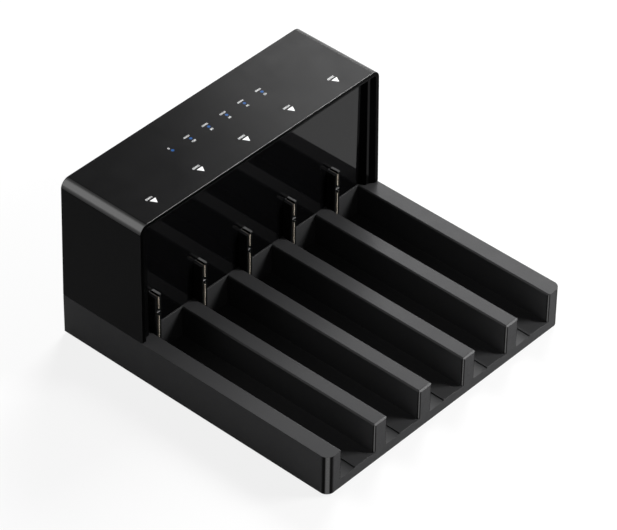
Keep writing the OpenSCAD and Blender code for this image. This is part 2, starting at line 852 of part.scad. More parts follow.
module rubber_feet() {
  color(c_rubber) placed() for (s = [-1, 1], y = foot_y) translate([s * foot_x, y, -foot_h]) union() {
    cylinder(r1 = foot_r - foot_ch, r2 = foot_r, h = foot_ch);
    translate([0, 0, foot_ch - eps]) cylinder(r = foot_r, h = foot_h + foot_sink - foot_ch + eps);
  }
}

// a screw pointing up, its head's underside at the origin
module screw(l) {
  difference() {
    translate([0, 0, -head_h]) cylinder(r = head_r, h = head_h);
    for (a = [0, 90]) rotate([0, 0, a])
      translate([-cross_l / 2, -cross_w / 2, -head_h - over]) cube([cross_l, cross_w, cross_d + over]);
  }
  translate([0, 0, -eps]) cylinder(r = screw_r, h = l + eps);
}

module cover_screws() {
  color(c_metal) placed() for (p = cover_screw_xy()) translate([p[0], p[1], head_sink]) screw(8);
}

module hood_screws() {
  color(c_metal) placed() for (s = [-1, 1], y = post_y)
    translate([s * post_x, y, wall_h - ledge_t]) screw(14);
}

module backplane_screws() {
  color(c_metal) placed() for (p = backplane_screw_xz())
    translate([p[0], back_y + board_t, p[1]]) rotate([90, 0, 0]) screw(8);
}

module main_board_screws() {
  color(c_metal) placed() for (s = [-1, 1], y = main_post_y)
    translate([s * main_post_x, y, main_top]) rotate([180, 0, 0]) screw(5);
}

module led_board_screws() {
  color(c_metal) placed() for (s = [-1, 1]) translate([s * led_post_x, light_y, led_board_z]) screw(5);
}

base_tray();
bottom_cover();
hood_shell();
front_bezel();
front_panel();
backplane_board();
receptacle_1();
receptacle_2();
receptacle_3();
receptacle_4();
receptacle_5();
contacts_1();
contacts_2();
contacts_3();
contacts_4();
contacts_5();
main_board();
board_link();
controller_chips();
capacitors();
inductors();
led_board();
status_leds();
light_pipes();
led_ribbon();
ribbon_plugs();
dc_jack();
dc_pin();
usb_shell();
usb_tongue();
rear_panel();
rocker_frame();
power_rocker();
mode_switch();
mode_slider();
tact_switch();
clone_button();
rubber_feet();
cover_screws();
hood_screws();
backplane_screws();
main_board_screws();
led_board_screws();
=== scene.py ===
# %% [markdown]
# # A docking station for five hard drives
#
# Bare hard drives stand on edge in five open lanes and plug into sockets at the lanes' ends.
# The sockets come through a black panel that shines like a mirror, under a long hood. The
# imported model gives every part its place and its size, in metres, with the origin in the
# middle of the footprint on the table. This lesson gives those parts their finishes, softens
# the edges that catch the light, adds the spring contacts and the prints, and sets up the
# studio.

# %% Load the model
import json
import math

import bmesh
import bpy
from mathutils import Matrix, Vector


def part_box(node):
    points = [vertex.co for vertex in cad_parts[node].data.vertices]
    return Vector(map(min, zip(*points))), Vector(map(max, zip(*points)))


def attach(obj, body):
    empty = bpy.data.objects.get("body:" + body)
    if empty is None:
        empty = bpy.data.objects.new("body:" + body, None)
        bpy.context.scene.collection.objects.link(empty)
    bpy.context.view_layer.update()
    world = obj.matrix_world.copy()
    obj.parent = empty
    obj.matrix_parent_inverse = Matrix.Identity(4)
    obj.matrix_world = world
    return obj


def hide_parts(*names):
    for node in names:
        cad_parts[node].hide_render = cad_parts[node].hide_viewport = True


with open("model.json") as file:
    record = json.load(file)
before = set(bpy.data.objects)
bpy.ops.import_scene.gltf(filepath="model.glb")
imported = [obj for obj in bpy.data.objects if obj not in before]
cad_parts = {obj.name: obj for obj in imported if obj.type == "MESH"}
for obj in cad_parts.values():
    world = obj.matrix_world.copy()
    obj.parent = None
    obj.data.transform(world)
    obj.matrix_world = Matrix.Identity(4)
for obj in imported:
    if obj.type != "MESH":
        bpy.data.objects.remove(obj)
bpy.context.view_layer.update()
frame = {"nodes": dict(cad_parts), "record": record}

MM = 0.001
nodes = frame["nodes"]

# %% [markdown]
# ## The camera
#
# The station is seen from its front left, from well above, through a long lens: its parallel
# edges hardly run together. The camera could be turned by hand until the view fits. Here its
# three directions follow from an azimuth, an elevation and a small roll instead, because
# angles can be read and mended one by one. Azimuth 0 looks along +Y.

# %% Place the camera
LENS_MM = 225.19
SENSOR_MM = 36
NEAREST, FARTHEST = 0.05, 50
AZIMUTH, ELEVATION, ROLL = (math.radians(v) for v in (-48.292, 40.113, 0.827))
CAMERA_AT = Vector((-1.27988, -1.13689, 1.49089))


def camera_turn(azimuth, elevation, roll):
    """The camera's turn as a matrix whose columns are its right, up and backward directions."""
    back = Vector((
        math.sin(azimuth) * math.cos(elevation),
        -math.cos(azimuth) * math.cos(elevation),
        math.sin(elevation),
    ))
    level = Vector((math.cos(azimuth), math.sin(azimuth), 0))
    upright = back.cross(level)
    right = math.cos(roll) * level + math.sin(roll) * upright
    up = math.cos(roll) * upright - math.sin(roll) * level
    return Matrix((right, up, back)).transposed()


camera_data = bpy.data.cameras.new("camera")
camera_data.lens = LENS_MM
camera_data.sensor_width = SENSOR_MM
camera_data.clip_start = NEAREST
camera_data.clip_end = FARTHEST
camera = bpy.data.objects.new("camera", camera_data)
turn = camera_turn(AZIMUTH, ELEVATION, ROLL).to_4x4()
camera.matrix_world = Matrix.Translation(CAMERA_AT) @ turn
bpy.context.scene.collection.objects.link(camera)
bpy.context.scene.camera = camera
print("camera", round(CAMERA_AT.length, 2), "m from the origin")

# %% [markdown]
# ## The floor
#
# The station stands on a pale ground. Brighter lamps would whiten it, but they would grey the
# black plastics too. So the camera, mirrors and clear bodies see a floor that glows white, and
# a little of its real shading is kept in the mix, so the station's soft shadow stays on it.

# %% Make the floor
FLOOR_HALF = 4
FLOOR_GREY = 0.8
SHADOW_SHARE = 0.16


def camera_or_mirror(tree):
    """1 for rays from the camera, a mirror or a clear body, 0 for light that falls on things."""
    path = tree.nodes.new("ShaderNodeLightPath")
    either = tree.nodes.new("ShaderNodeMath")
    either.operation = "MAXIMUM"
    tree.links.new(path.outputs["Is Camera Ray"], either.inputs[0])
    tree.links.new(path.outputs["Is Glossy Ray"], either.inputs[1])
    both = tree.nodes.new("ShaderNodeMath")
    both.operation = "MAXIMUM"
    tree.links.new(either.outputs[0], both.inputs[0])
    tree.links.new(path.outputs["Is Transmission Ray"], both.inputs[1])
    return both.outputs[0]


floor_bm = bmesh.new()
bmesh.ops.create_grid(floor_bm, x_segments=1, y_segments=1, size=FLOOR_HALF)
floor_mesh = bpy.data.meshes.new("floor")
floor_bm.to_mesh(floor_mesh)
floor_bm.free()
floor = bpy.data.objects.new("floor", floor_mesh)
bpy.context.scene.collection.objects.link(floor)
print("floor", 2 * FLOOR_HALF, "m wide")

# %% Paint the floor
floor_paint = bpy.data.materials.new("floor_paint")
floor_paint.use_nodes = True
tree = floor_paint.node_tree
tree.nodes.clear()
diffuse = tree.nodes.new("ShaderNodeBsdfDiffuse")
diffuse.inputs["Color"].default_value = (FLOOR_GREY, FLOOR_GREY, FLOOR_GREY, 1)
white = tree.nodes.new("ShaderNodeEmission")
white.inputs["Strength"].default_value = 1
share = tree.nodes.new("ShaderNodeMath")
share.operation = "MULTIPLY"
share.inputs[1].default_value = 1 - SHADOW_SHARE
tree.links.new(camera_or_mirror(tree), share.inputs[0])
mix = tree.nodes.new("ShaderNodeMixShader")
tree.links.new(share.outputs[0], mix.inputs["Fac"])
tree.links.new(diffuse.outputs[0], mix.inputs[1])
tree.links.new(white.outputs[0], mix.inputs[2])
output = tree.nodes.new("ShaderNodeOutputMaterial")
tree.links.new(mix.outputs[0], output.inputs["Surface"])
floor_mesh.materials.append(floor_paint)
print("floor paint keeps", SHADOW_SHARE, "of its shading")

# %% [markdown]
# ## The sky and the lamps
#
# Plastic this dark shows mostly what it mirrors, so one bright sky would flatten it. Instead,
# each lamp stands where one group of faces mirrors it. The great box, behind the right-hand
# side and turned in its own plane, draws the slow gradient along the hood's top and the ribs'
# tops. The edge box catches the level front edges and, by way of the panel, lights the mirror
# images of the ribs. The wide back box draws the broad band along the hood's rounded left
# edge. Weak boxes at the right, front and left lift the faces that look their way, and a faint
# sky fills the rest.

# %% Make the sky
SKY_STRENGTH = 0.03

world = bpy.data.worlds.new("sky")
world.use_nodes = True
bpy.context.scene.world = world
tree = world.node_tree
background = tree.nodes["Background"]
background.inputs["Color"].default_value = (1, 1, 1, 1)
seen = tree.nodes.new("ShaderNodeMapRange")
tree.links.new(camera_or_mirror(tree), seen.inputs["Value"])
seen.inputs["To Min"].default_value = SKY_STRENGTH
seen.inputs["To Max"].default_value = 1
tree.links.new(seen.outputs["Result"], background.inputs["Strength"])
print("sky lights things at", SKY_STRENGTH)

# %% Hang the lamps
# towards and far place a box's middle, size is its width and height in metres, power is in
# watts and roll, in degrees, turns it in its own plane
SOFT_BOXES = {
    "great_box": {
        "towards": (0.674, 0.370, 0.639), "far": 1.32, "size": (0.4, 0.63), "power": 24,
        "roll": 53,
    },
    "edge_box": {
        "towards": (0.549, -0.596, 0.581), "far": 1.34, "size": (0.4, 0.5), "power": 17,
    },
    "right_box": {"towards": (0.93, -0.15, 0.34), "far": 1.1, "size": (0.4, 0.4), "power": 3},
    "front_box": {"towards": (0.46, -0.5, 0.12), "far": 0.68, "size": (0.3, 0.3), "power": 1},
    "left_box": {"towards": (-0.35, -0.8, 0.5), "far": 1, "size": (0.4, 0.4), "power": 0.3},
    "back_box": {"towards": (-0.6, 0.51, 0.62), "far": 1.3, "size": (1, 1.3), "power": 4},
}
AIM = Vector((0, 0, 30 * MM))

for name, box in SOFT_BOXES.items():
    lamp = bpy.data.lights.new(name, "AREA")
    lamp.shape = "RECTANGLE"
    lamp.size, lamp.size_y = box["size"]
    lamp.energy = box["power"]
    holder = bpy.data.objects.new(name, lamp)
    place = Vector(box["towards"]).normalized() * box["far"]
    turn = (place - AIM).to_track_quat("Z", "Y").to_matrix().to_4x4()
    turn = turn @ Matrix.Rotation(math.radians(box.get("roll", 0)), 4, "Z")
    holder.matrix_world = Matrix.Translation(place) @ turn
    bpy.context.scene.collection.objects.link(holder)
bpy.context.scene.view_settings.view_transform = "Standard"
print("lamps", sorted(SOFT_BOXES))

# %% [markdown]
# ## Helpers for finishes
#
# Moulded plastic, metal and rubber differ in colour, gloss and grain, so a few helpers make a
# shader with those three, and each finish adds what is its own. The grain could be a picture
# laid on the surface. A fine noise on Object coordinates, in metres, has no seams and the same
# width on every part, and it moves both the bump and the roughness. The Bevel node rounds an
# edge's shading by a hair, and where it turns the surface the edge takes an edge colour: on most
# parts a little lighter, as handled plastic is, and on the hood far lighter than the face, a
# painted highlight along its edges.

# %% Define a plain finish
finishes = {}


def new_finish(name, colour, rough, metal=0.0, gloss=0.5):
    """Makes the finish of that name; gloss is its Principled shader's specular level."""
    material = bpy.data.materials.new(name)
    finishes[name] = material
    material.use_nodes = True
    shader = material.node_tree.nodes["Principled BSDF"]
    shader.inputs["Base Color"].default_value = (*colour, 1)
    shader.inputs["Roughness"].default_value = rough
    shader.inputs["Metallic"].default_value = metal
    shader.inputs["Specular IOR Level"].default_value = gloss
    return material.node_tree, shader


def two_colours(tree, shader, factor, first, second):
    """Base colour that runs from first to second with factor."""
    blend = tree.nodes.new("ShaderNodeMix")
    blend.data_type = "RGBA"
    blend.inputs["A"].default_value = (*first, 1)
    blend.inputs["B"].default_value = (*second, 1)
    tree.links.new(factor, blend.inputs["Factor"])
    tree.links.new(blend.outputs["Result"], shader.inputs["Base Color"])


print("finishes start from a colour, a roughness and a gloss")

# %% Define the grain
NOISE_LOW, NOISE_HIGH = 0.3, 0.7


def noise_at(tree, size):
    """A noise whose lumps are about size metres across."""
    place = tree.nodes.new("ShaderNodeTexCoord")
    noise = tree.nodes.new("ShaderNodeTexNoise")
    noise.inputs["Scale"].default_value = 1 / size
    noise.inputs["Detail"].default_value = 2
    tree.links.new(place.outputs["Object"], noise.inputs["Vector"])
    return noise.outputs["Fac"]


def to_range(tree, noise, low, high):
    """A noise, which mostly lies from NOISE_LOW to NOISE_HIGH, stretched to low to high."""
    stretch = tree.nodes.new("ShaderNodeMapRange")
    stretch.inputs["From Min"].default_value = NOISE_LOW
    stretch.inputs["From Max"].default_value = NOISE_HIGH
    stretch.inputs["To Min"].default_value = low
    stretch.inputs["To Max"].default_value = high
    tree.links.new(noise, stretch.inputs["Value"])
    return stretch.outputs["Result"]


def add_bump(tree, shader, height, depth, under=None):
    """Raises the surface by depth metres where height is 1, on top of another normal."""
    bump = tree.nodes.new("ShaderNodeBump")
    bump.inputs["Distance"].default_value = depth
    tree.links.new(height, bump.inputs["Height"])
    if under is not None:
        tree.links.new(under, bump.inputs["Normal"])
    tree.links.new(bump.outputs["Normal"], shader.inputs["Normal"])


print("noise is stretched from", NOISE_LOW, "to", NOISE_HIGH)

# %% Define moulded plastic
EDGE_RADIUS = 0.25 * MM
PATCH_GRAINS = 40
# cosine of the turn between the rounded and the flat direction at which an edge takes its whole
# edge colour, which is wear on most parts and a painted highlight on the hood
EDGE_COLOUR_WHOLE_AT = 0.75


def rounded_direction(tree, radius):
    """The surface's direction with its edges rounded by radius, in metres."""
    rounded = tree.nodes.new("ShaderNodeBevel")
    rounded.samples = 4
    rounded.inputs["Radius"].default_value = radius
    return rounded.outputs["Normal"]


def edge_wear_and_highlight(tree, rounded):
    """0 on a flat face, and more where the rounded direction turns away from the face's own."""
    face = tree.nodes.new("ShaderNodeNewGeometry")
    dot = tree.nodes.new("ShaderNodeVectorMath")
    dot.operation = "DOT_PRODUCT"
    tree.links.new(rounded, dot.inputs[0])
    tree.links.new(face.outputs["Normal"], dot.inputs[1])
    edge_share = tree.nodes.new("ShaderNodeMapRange")
    edge_share.inputs["From Min"].default_value = 1
    edge_share.inputs["From Max"].default_value = EDGE_COLOUR_WHOLE_AT
    tree.links.new(dot.outputs["Value"], edge_share.inputs["Value"])
    return edge_share.outputs["Result"]


def moulded(name, colour, edge_colour, rough, spread, grain, depth, gloss):
    """Moulded plastic: grain metres wide and depth metres high, rough plus or minus spread."""
    tree, shader = new_finish(name, colour, rough, gloss=gloss)
    fine = noise_at(tree, grain)
    patches = noise_at(tree, PATCH_GRAINS * grain)
    rounded = rounded_direction(tree, EDGE_RADIUS)
    two_colours(tree, shader, edge_wear_and_highlight(tree, rounded), colour, edge_colour)
    half = spread / 2
    mixed = tree.nodes.new("ShaderNodeMath")
    mixed.operation = "ADD"
    tree.links.new(to_range(tree, fine, -half, half), mixed.inputs[0])
    tree.links.new(to_range(tree, patches, rough - half, rough + half), mixed.inputs[1])
    tree.links.new(mixed.outputs[0], shader.inputs["Roughness"])
    add_bump(tree, shader, fine, depth, rounded)


print("edges are shaded as rounds of", EDGE_RADIUS / MM, "mm")

# %% [markdown]
# ## Black plastics
#
# The base has a fine matt texture, sparked into its mould, that scatters the light. The hood
# is smoother, so it takes a soft sheen. Where a face rounds over into the next, the mould was
# polished by hand, so the rounds mirror the studio, and on the base's upright corners and the
# hood's rounded edges the rounds are also painted darker, as painted shade beside their
# highlight. The bezel and the panel are polished all over, and the panel mirrors the ribs in
# front of it. The strip over the hood's mouth is painted a deeper black, as painted shade, and
# the sockets' level tops are painted grey, as a painted highlight. The rounds and those faces
# could be painted one by one. The shader finds them by the way they look instead, so the parts
# stay whole. The small parts are plain moulded nylon, black except for the blue tongue of the
# data socket, and the feet are rubber.

# %% Define a polish for rounds
# the colour that rounds are painted towards: painted shade beside their highlight
PAINTED_SHADE_ON_ROUNDS = (0.004, 0.004, 0.004)


def math_node(tree, operation, first, second=None):
    """One arithmetic step on sockets or constants."""
    node = tree.nodes.new("ShaderNodeMath")
    node.operation = operation
    for socket, value in zip(node.inputs, (first, second)):
        if isinstance(value, bpy.types.NodeSocket):
            tree.links.new(value, socket)
        elif value is not None:
            socket.default_value = value
    return node.outputs[0]


def surface_direction(tree):
    """The X, Y and Z of the direction in which the surface looks."""
    place = tree.nodes.new("ShaderNodeTexCoord")
    parts = tree.nodes.new("ShaderNodeSeparateXYZ")
    tree.links.new(place.outputs["Normal"], parts.inputs[0])
    return parts.outputs


def recolour(tree, shader, factor, colour):
    """Turns the base colour that is there towards another one with factor."""
    before = shader.inputs["Base Color"].links[0].from_socket
    blend = tree.nodes.new("ShaderNodeMix")
    blend.data_type = "RGBA"
    blend.inputs["B"].default_value = (*colour, 1)
    tree.links.new(factor, blend.inputs["Factor"])
    tree.links.new(before, blend.inputs["A"])
    tree.links.new(blend.outputs["Result"], shader.inputs["Base Color"])


def polish_rounds(name, upright, first, full, gloss, deepen):
    """Gives the rounds on upright corners, or those on level edges, more gloss.

    The slant is 1 where a round is halfway between two faces and 0 on the faces. The gloss
    starts at the slant first and is whole at full; deepen also paints the rounds darker, as
    painted shade beside their highlight.
    """
    tree = finishes[name].node_tree
    shader = tree.nodes["Principled BSDF"]
    direction = surface_direction(tree)
    if upright:
        product = math_node(tree, "MULTIPLY", direction["X"], direction["Y"])
        slant = math_node(tree, "ABSOLUTE", math_node(tree, "MULTIPLY", product, 2.0))
    else:
        tilt = math_node(tree, "ARCCOSINE", direction["Z"])
        slant = math_node(tree, "SINE", math_node(tree, "MULTIPLY", tilt, 2.0))
    share = tree.nodes.new("ShaderNodeMapRange")
    share.inputs["From Min"].default_value = first
    share.inputs["From Max"].default_value = full
    tree.links.new(slant, share.inputs["Value"])
    level = shader.inputs["Specular IOR Level"]
    before = level.links[0].from_socket if level.links else level.default_value
    rest = math_node(tree, "SUBTRACT", 1.0, share.outputs["Result"])
    kept = math_node(tree, "MULTIPLY", rest, before)
    added = math_node(tree, "MULTIPLY", share.outputs["Result"], gloss)
    tree.links.new(math_node(tree, "ADD", kept, added), level)
    if deepen:
        # paint the rounds darker: painted shade beside their highlight
        twice = math_node(tree, "MULTIPLY", slant, 2.0)
        recolour(tree, shader, math_node(tree, "MINIMUM", twice, 1.0), PAINTED_SHADE_ON_ROUNDS)


print("polished rounds may deepen to", PAINTED_SHADE_ON_ROUNDS)

# %% Define painted light and shade for faces that look one way
FACING_STARTS, FACING_WHOLE = 0.8, 0.95


def paint_light_and_shade_facing(name, axis, sign, colour):
    """Paints the faces that look along an axis, forwards or backwards, another colour: a painted
    highlight where it is lighter, painted shade where it is darker.
    """
    tree = finishes[name].node_tree
    facing = tree.nodes.new("ShaderNodeMapRange")
    facing.inputs["From Min"].default_value = FACING_STARTS * sign
    facing.inputs["From Max"].default_value = FACING_WHOLE * sign
    tree.links.new(surface_direction(tree)[axis], facing.inputs["Value"])
    recolour(tree, tree.nodes["Principled BSDF"], facing.outputs["Result"], colour)


print("a face looks along an axis from", FACING_STARTS, "on")

# %% Mix the plastics of the base and the hood
moulded(
    "base_plastic", colour=(0.039, 0.039, 0.04), edge_colour=(0.06, 0.06, 0.061),
    rough=0.27, spread=0.05, grain=0.35 * MM, depth=0.003 * MM, gloss=0.014,
)
# deepen paints the base's upright rounds darker: painted shade beside their highlight
polish_rounds("base_plastic", upright=True, first=0.84, full=0.97, gloss=1, deepen=True)
polish_rounds("base_plastic", upright=False, first=0.5, full=0.9, gloss=0.11, deepen=False)
# the hood's edge colour is far lighter than its face: a painted highlight along its edges
moulded(
    "hood_plastic", colour=(0.006, 0.006, 0.0062), edge_colour=(0.1, 0.1, 0.102),
    rough=0.21, spread=0.05, grain=0.3 * MM, depth=0.002 * MM, gloss=0.0125,
)
# deepen paints the hood's rounded edges darker: painted shade beside their highlight
polish_rounds("hood_plastic", upright=False, first=0.3, full=0.9, gloss=0.9, deepen=True)
# the hood's faces that look forward are painted near black: painted shade
paint_light_and_shade_facing("hood_plastic", "Y", -1, (0.001, 0.001, 0.001))
print("mixed", sorted(finishes))

# %% Mix the plastics in the hood's mouth
moulded(
    "bezel_gloss", colour=(0.002, 0.002, 0.0021), edge_colour=(0.003, 0.003, 0.003),
    rough=0.08, spread=0.03, grain=0.6 * MM, depth=0.001 * MM, gloss=0.03,
)
moulded(
    "panel_gloss", colour=(0.002, 0.002, 0.0022), edge_colour=(0.01, 0.01, 0.01),
    rough=0.04, spread=0.02, grain=2 * MM, depth=0.001 * MM, gloss=0.17,
)
moulded(
    "socket_plastic", colour=(0.006, 0.006, 0.006), edge_colour=(0.06, 0.06, 0.06),
    rough=0.3, spread=0.06, grain=0.3 * MM, depth=0.004 * MM, gloss=0.04,
)
# the sockets' level tops are painted grey: a painted highlight for the sheen on them
paint_light_and_shade_facing("socket_plastic", "Z", 1, (0.13, 0.13, 0.13))
polish_rounds("socket_plastic", upright=False, first=0.2, full=0.8, gloss=1, deepen=False)
print("mixed", sorted(finishes))

# %% Mix the plastics of the small parts
moulded(
    "dark_plastic", colour=(0.018, 0.018, 0.018), edge_colour=(0.04, 0.04, 0.04),
    rough=0.45, spread=0.08, grain=0.3 * MM, depth=0.01 * MM, gloss=0.35,
)
moulded(
    "chip_plastic", colour=(0.02, 0.02, 0.021), edge_colour=(0.05, 0.05, 0.05),
    rough=0.55, spread=0.08, grain=0.15 * MM, depth=0.008 * MM, gloss=0.3,
)
moulded(
    "plate_plastic", colour=(0.024, 0.024, 0.025), edge_colour=(0.04, 0.04, 0.041),
    rough=0.5, spread=0.08, grain=0.35 * MM, depth=0.02 * MM, gloss=0.25,
)
moulded(
    "rocker_plastic", colour=(0.02, 0.02, 0.021), edge_colour=(0.045, 0.045, 0.045),
    rough=0.32, spread=0.06, grain=0.3 * MM, depth=0.006 * MM, gloss=0.35,
)
moulded(
    "tongue_plastic", colour=(0.03, 0.1, 0.42), edge_colour=(0.06, 0.16, 0.5),
    rough=0.4, spread=0.08, grain=0.3 * MM, depth=0.008 * MM, gloss=0.4,
)
moulded(
    "rubber", colour=(0.02, 0.02, 0.02), edge_colour=(0.035, 0.035, 0.034),
    rough=0.8, spread=0.1, grain=0.25 * MM, depth=0.03 * MM, gloss=0.25,
)
print(len(finishes), "plastics")

# %% [markdown]
# ## Metals
#
# Plated steel shows a faint grain where it was drawn or turned, and the gold of the contacts
# is pale and warm. Fine scratches could be cut into the mesh. A noise that is stretched along
# one direction shows the same at this size, as a little bump, shade and roughness.

# %% Mix the metals
METAL_EDGE = 0.1 * MM
GROOVE_SHADE = 0.8


def drawn_metal(name, colour, rough, spread, stretch, depth, metal=1.0):
    """Metal with a drawn grain; stretch scales the noise along X, Y and Z."""
    tree, shader = new_finish(name, colour, rough, metal=metal)
    place = tree.nodes.new("ShaderNodeTexCoord")
    drawn = tree.nodes.new("ShaderNodeMapping")
    drawn.inputs["Scale"].default_value = stretch
    tree.links.new(place.outputs["Object"], drawn.inputs["Vector"])
    noise = tree.nodes.new("ShaderNodeTexNoise")
    noise.inputs["Scale"].default_value = 1
    noise.inputs["Detail"].default_value = 3
    tree.links.new(drawn.outputs["Vector"], noise.inputs["Vector"])
    grain = noise.outputs["Fac"]
    roughness = to_range(tree, grain, rough - spread, rough + spread)
    tree.links.new(roughness, shader.inputs["Roughness"])
    add_bump(tree, shader, grain, depth, rounded_direction(tree, METAL_EDGE))
    darker = [GROOVE_SHADE * c for c in colour]
    two_colours(tree, shader, to_range(tree, grain, 0, 1), darker, colour)


drawn_metal(
    "bright_metal", colour=(0.62, 0.63, 0.65), rough=0.24, spread=0.06,
    stretch=(2500, 300, 2500), depth=0.002 * MM,
)
drawn_metal(
    "can_metal", colour=(0.72, 0.73, 0.75), rough=0.3, spread=0.06,
    stretch=(1500, 1500, 200), depth=0.002 * MM,
)
drawn_metal(
    "screw_metal", colour=(0.3, 0.3, 0.32), rough=0.34, spread=0.08,
    stretch=(2500, 2500, 400), depth=0.003 * MM,
)
drawn_metal(
    "contact_gold", colour=(1.0, 0.88, 0.72), rough=0.5, spread=0.08,
    stretch=(3000, 400, 3000), depth=0.001 * MM, metal=0.15,
)
print("metals", [n for n in finishes if "metal" in n or "gold" in n])

# %% [markdown]
# ## Boards, the flat cable and the lights
#
# The boards carry a green lacquer over copper tracks. Tracks could be drawn one by one, but
# they are hidden inside the station, so the borders between scattered cells stand in for
# them, slightly lighter and raised. The flat cable's wires are a wave pattern. The lights are
# clear bars lit deep blue from below, which a dark blue with a weak glow shows.

# %% Mix the boards' lacquer
TRACK_CELLS_PER_M = 260
TRACK_INNER, TRACK_OUTER = 0.05, 0.09


def board_lacquer(name):
    """Green lacquer over tracks: cells whose borders stand up a little and are lighter."""
    tree, shader = new_finish(name, (0.012, 0.09, 0.04), 0.35, gloss=0.5)
    place = tree.nodes.new("ShaderNodeTexCoord")
    cells = tree.nodes.new("ShaderNodeTexVoronoi")
    cells.feature = "DISTANCE_TO_EDGE"
    cells.inputs["Scale"].default_value = TRACK_CELLS_PER_M
    tree.links.new(place.outputs["Object"], cells.inputs["Vector"])
    track = tree.nodes.new("ShaderNodeMapRange")
    track.inputs["From Min"].default_value = TRACK_INNER
    track.inputs["From Max"].default_value = TRACK_OUTER
    track.inputs["To Min"].default_value = 1
    track.inputs["To Max"].default_value = 0
    tree.links.new(cells.outputs["Distance"], track.inputs["Value"])
    on_track = track.outputs["Result"]
    two_colours(tree, shader, on_track, (0.01, 0.075, 0.032), (0.025, 0.17, 0.07))
    add_bump(tree, shader, on_track, 0.03 * MM)
    roughness = to_range(tree, noise_at(tree, 3 * MM), 0.28, 0.42)
    tree.links.new(roughness, shader.inputs["Roughness"])


board_lacquer("board")
print("board tracks between cells", round(1 / TRACK_CELLS_PER_M / MM, 1), "mm wide")

# %% Mix the flat cable and the lights
WIRE_WAVES = 160


def flat_cable(name):
    """Grey flat cable: wires side by side along X, with dark lines between them."""
    tree, shader = new_finish(name, (0.5, 0.5, 0.48), 0.5)
    place = tree.nodes.new("ShaderNodeTexCoord")
    wires = tree.nodes.new("ShaderNodeTexWave")
    wires.bands_direction = "X"
    wires.inputs["Scale"].default_value = WIRE_WAVES
    tree.links.new(place.outputs["Object"], wires.inputs["Vector"])
    two_colours(tree, shader, wires.outputs["Fac"], (0.2, 0.2, 0.19), (0.6, 0.6, 0.57))
    add_bump(tree, shader, wires.outputs["Fac"], 0.2 * MM)
    roughness = to_range(tree, noise_at(tree, 1 * MM), 0.4, 0.6)
    tree.links.new(roughness, shader.inputs["Roughness"])


def lit_blue(name):
    """A clear bar lit from below: deep blue with a weak glow, faintly cloudy."""
    tree, shader = new_finish(name, (0.012, 0.06, 0.17), 0.2, gloss=0.02)
    cloud = noise_at(tree, 0.5 * MM)
    cloudy = to_range(tree, cloud, 0, 1)
    two_colours(tree, shader, cloudy, (0.008, 0.045, 0.15), (0.014, 0.07, 0.22))
    tree.links.new(to_range(tree, cloud, 0.15, 0.3), shader.inputs["Roughness"])
    shader.inputs["Emission Color"].default_value = (0.02, 0.1, 0.33, 1)
    shader.inputs["Emission Strength"].default_value = 0.3


flat_cable("ribbon")
lit_blue("light")

# %% [markdown]
# ## Every part gets its finish
#
# The record says which slot each part takes its finish from, so the parts are dressed in one
# loop. Parts that are rebuilt later in this lesson are dressed here too, and then hidden.

# %% Dress the parts
slot_of = {row["node"]: row["material_slot"] for row in frame["record"]["subparts"]}
for name, part in nodes.items():
    for index in range(len(part.material_slots)):
        part.material_slots[index].material = finishes[slot_of[name]]
print(len(slot_of), "parts dressed")

# %% [markdown]
# ## Soft edges on the big mouldings
#
# No moulded edge is razor sharp: a fine radius draws a thin bright line along it. Shading
# alone could fake that radius, but only a real one catches a lamp the way it should. The
# tray, hood, bezel and sockets are the parts whose edges are seen, so each is copied, its
# loose triangles are joined into whole faces, and its long sharp edges are bevelled. The
# hood's outline turns round its corners in short steps, so its short edges are bevelled as
# well. Plain smooth shading would then bend the light on the flat faces beside a round, so
# each corner's shading direction is worked out here, and the largest face there decides it.

# %% Place finished pieces
SHARP = math.radians(35)


def keep_flat_faces_flat(mesh):
    """Shades rounds smoothly, while a large flat face keeps its own direction to its corners."""
    directions = [face.normal.copy() for face in mesh.polygons]
    weights = [(face.area / MM**2) ** 2 for face in mesh.polygons]
    around = [[] for _ in mesh.vertices]
    for face in mesh.polygons:
        for corner in face.vertices:
            around[corner].append(face.index)
    shading = [None] * len(mesh.loops)
    for face in mesh.polygons:
        own = directions[face.index]
        for loop, corner in zip(face.loop_indices, face.vertices):
            total = weights[face.index] * own
            for other in around[corner]:
                if other != face.index and own.dot(directions[other]) > math.cos(SHARP):
                    total += weights[other] * directions[other]
            shading[loop] = total.normalized()
    mesh.normals_split_custom_set(shading)


def place_piece(bm, name, body, finish):
    """Makes a piece of a finished bmesh, rides it on its body and gives it its finish."""
    mesh = bpy.data.meshes.new(name)
    bm.to_mesh(mesh)
    bm.free()
    piece = bpy.data.objects.new(name, mesh)
    bpy.context.scene.collection.objects.link(piece)
    mesh.materials.append(finishes[finish])
    mesh.shade_smooth()
    mesh.set_sharp_from_angle(angle=SHARP)
    keep_flat_faces_flat(mesh)
    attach(piece, body)
    return piece


print("faces that meet at more than", round(math.degrees(SHARP)), "degrees stay sharp")

# %% Copy the mouldings with bevelled edges
SAME_POINT = 0.002 * MM
SAME_FACE = math.radians(0.5)
BAYS = range(1, 6)


def joined_copy(name):
    """A bmesh of a part with its loose triangles joined into flat faces."""
    bm = bmesh.new()
    bm.from_mesh(nodes[name].data)
    bmesh.ops.remove_doubles(bm, verts=bm.verts, dist=SAME_POINT)
    bmesh.ops.dissolve_limit(
        bm, angle_limit=SAME_FACE, verts=bm.verts, edges=bm.edges,
        use_dissolve_boundaries=False,
    )
    return bm


